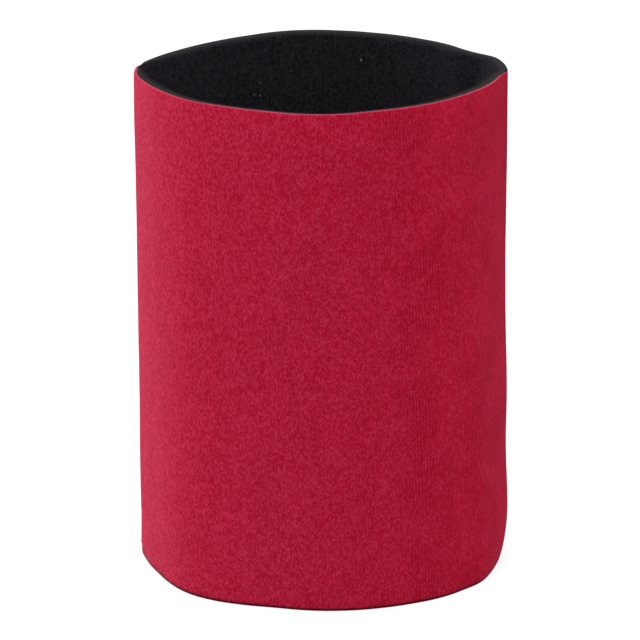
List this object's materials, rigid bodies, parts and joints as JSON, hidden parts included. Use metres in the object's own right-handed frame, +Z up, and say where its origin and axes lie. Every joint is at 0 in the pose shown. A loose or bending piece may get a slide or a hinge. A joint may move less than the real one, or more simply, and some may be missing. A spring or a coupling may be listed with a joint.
{
  "type": "can cooler sleeve",
  "caption": "Collapsible foam can cooler sleeve, red knit outside and black lining inside, open at the top, sewn down one corner, with an oval base.",
  "frame": {"origin": "on the ground, under the middle of the standing sleeve's bounding box", "axes": "+Z up through the open mouth, the broad front faces -Y, +X runs along the mouth's long side, from the sewn corner to the folded corner"},
  "size_m": [0.0758, 0.0606, 0.105],
  "materials": {
    "red_laminate": "matt knit over soft foam",
    "black_laminate": "matt knit over soft foam",
    "black_thread": "matt"
  },
  "bodies": {
    "root": {"body_panel": "red_laminate", "base_panel": "black_laminate", "side_seam_thread": "black_thread", "base_seam_thread": "black_thread"}
  },
  "joints": []
}
